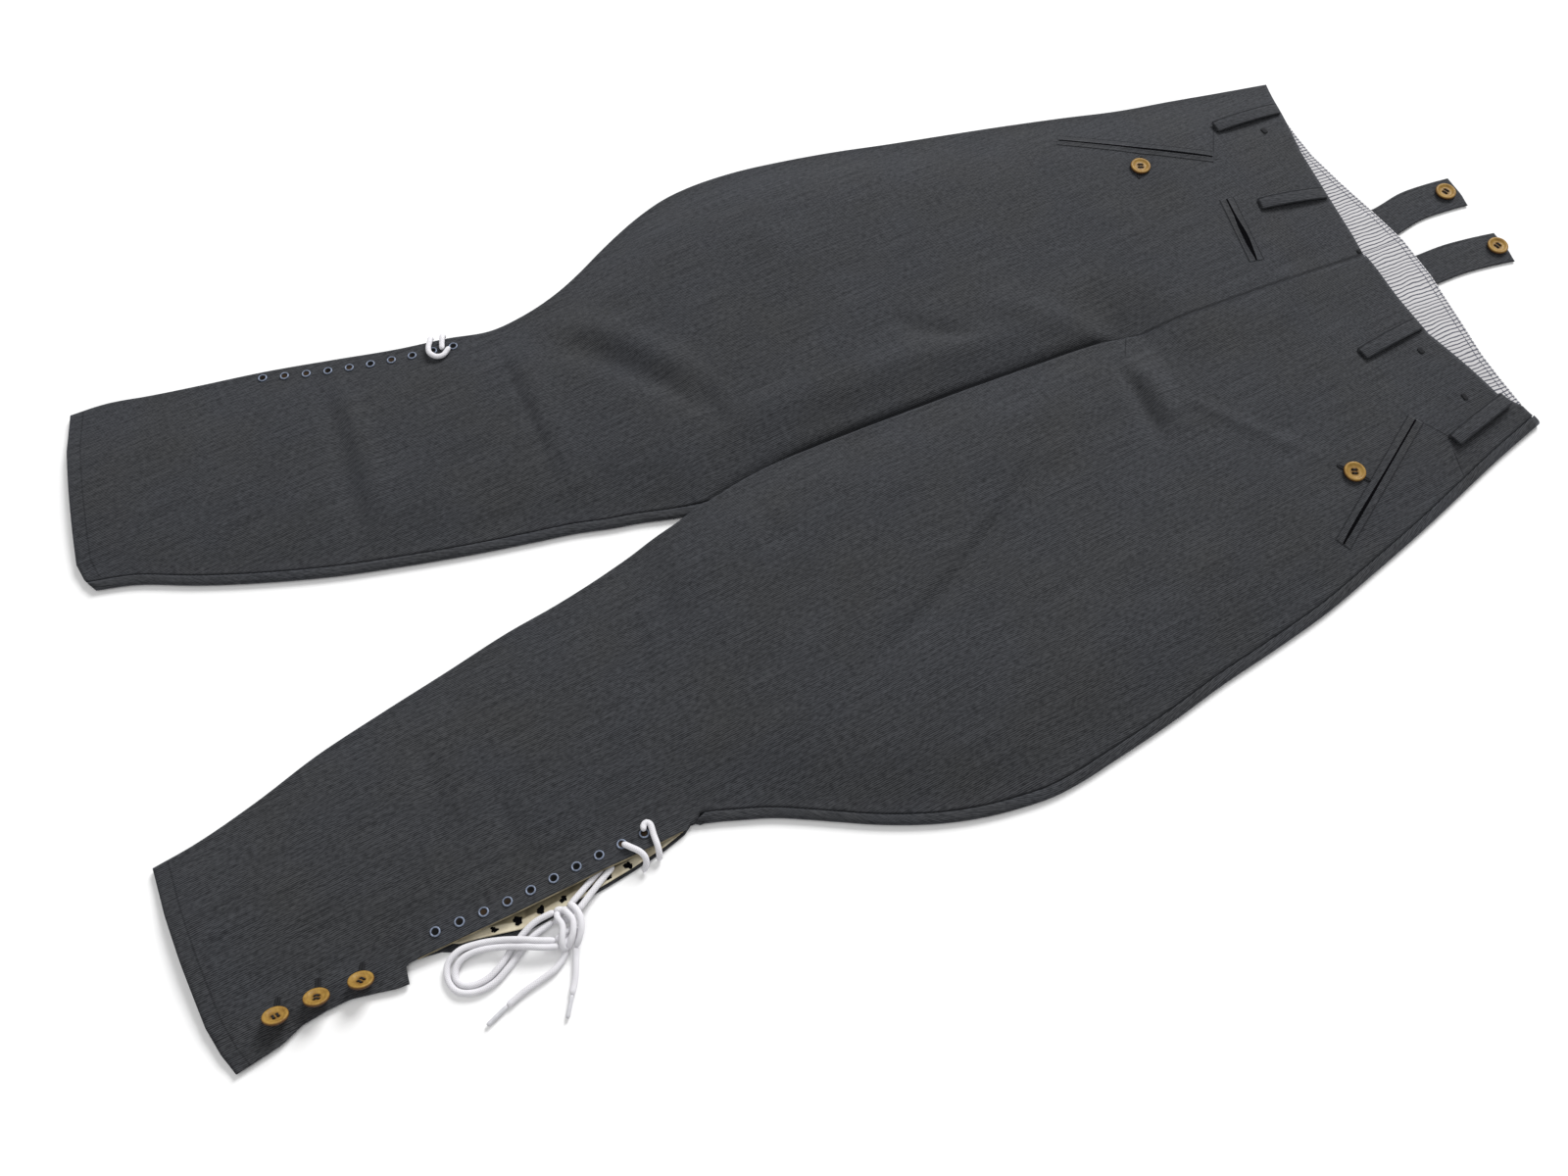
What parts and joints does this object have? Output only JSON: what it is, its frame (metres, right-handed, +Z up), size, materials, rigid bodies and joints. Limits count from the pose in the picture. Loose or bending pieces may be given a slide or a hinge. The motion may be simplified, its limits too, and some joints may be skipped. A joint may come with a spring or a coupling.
{
  "type": "military breeches",
  "caption": "Historic laced riding breeches laid flat, front up, with slanting pockets, belt loops, brace tabs, striped waist lining, a buttoned hem flap and laced calves.",
  "frame": {"origin": "bottom centre of the breeches' bounding box without the free laces, on the surface they lie on", "axes": "+X across to the wearer's left, +Y along the legs from hems to waist, +Z up out of the front"},
  "size_m": [0.6065, 1.1418, 0.0212],
  "materials": {
    "twill": "matt slate-grey wool twill",
    "striped_lining": "matt white cotton with thin navy stripes",
    "cream_facing": "matt cream cotton",
    "horn": "polished ochre horn",
    "painted_eyelet": "blue-grey enamel, slightly worn",
    "cotton_lace": "matt white braid",
    "lace_end": "satin pale grey sleeve"
  },
  "bodies": {
    "root": {"right_front": "twill", "left_front": "twill", "right_back": "twill", "left_back": "twill", "right_side_belt_loop": "twill", "right_front_belt_loop": "twill", "left_front_belt_loop": "twill", "left_side_belt_loop": "twill", "left_back_tab": "twill", "right_back_tab": "twill", "right_pocket_upper_lip": "twill", "right_pocket_lower_lip": "twill", "left_pocket_upper_lip": "twill", "left_pocket_lower_lip": "twill", "watch_pocket_upper_lip": "twill", "watch_pocket_lower_lip": "twill", "waist_lining": "striped_lining", "slit_facing": "cream_facing", "left_tab_button": "horn", "right_tab_button": "horn", "right_pocket_button": "horn", "left_pocket_button": "horn", "hem_button_1": "horn", "hem_button_2": "horn", "hem_button_3": "horn", "right_eyelet_01": "painted_eyelet", "right_eyelet_02": "painted_eyelet", "right_eyelet_03": "painted_eyelet", "right_eyelet_04": "painted_eyelet", "right_eyelet_05": "painted_eyelet", "right_eyelet_06": "painted_eyelet", "right_eyelet_07": "painted_eyelet", "right_eyelet_08": "painted_eyelet", "right_eyelet_09": "painted_eyelet", "right_eyelet_10": "painted_eyelet", "left_eyelet_01": "painted_eyelet", "left_eyelet_02": "painted_eyelet", "left_eyelet_03": "painted_eyelet", "left_eyelet_04": "painted_eyelet", "left_eyelet_05": "painted_eyelet", "left_eyelet_06": "painted_eyelet", "left_eyelet_07": "painted_eyelet", "left_eyelet_08": "painted_eyelet", "left_eyelet_09": "painted_eyelet", "left_eyelet_10": "painted_eyelet", "right_lace_upper": "cotton_lace", "right_lace_lower": "cotton_lace", "left_lace_upper": "cotton_lace", "left_lace_lower": "cotton_lace", "lace_tail_front": "cotton_lace", "lace_tail_back": "cotton_lace", "lace_loop_outer": "cotton_lace", "lace_loop_inner": "cotton_lace", "lace_end_back": "cotton_lace", "lace_end_front": "cotton_lace", "lace_knot": "cotton_lace", "aglet_back": "lace_end", "aglet_front": "lace_end"}
  },
  "joints": []
}
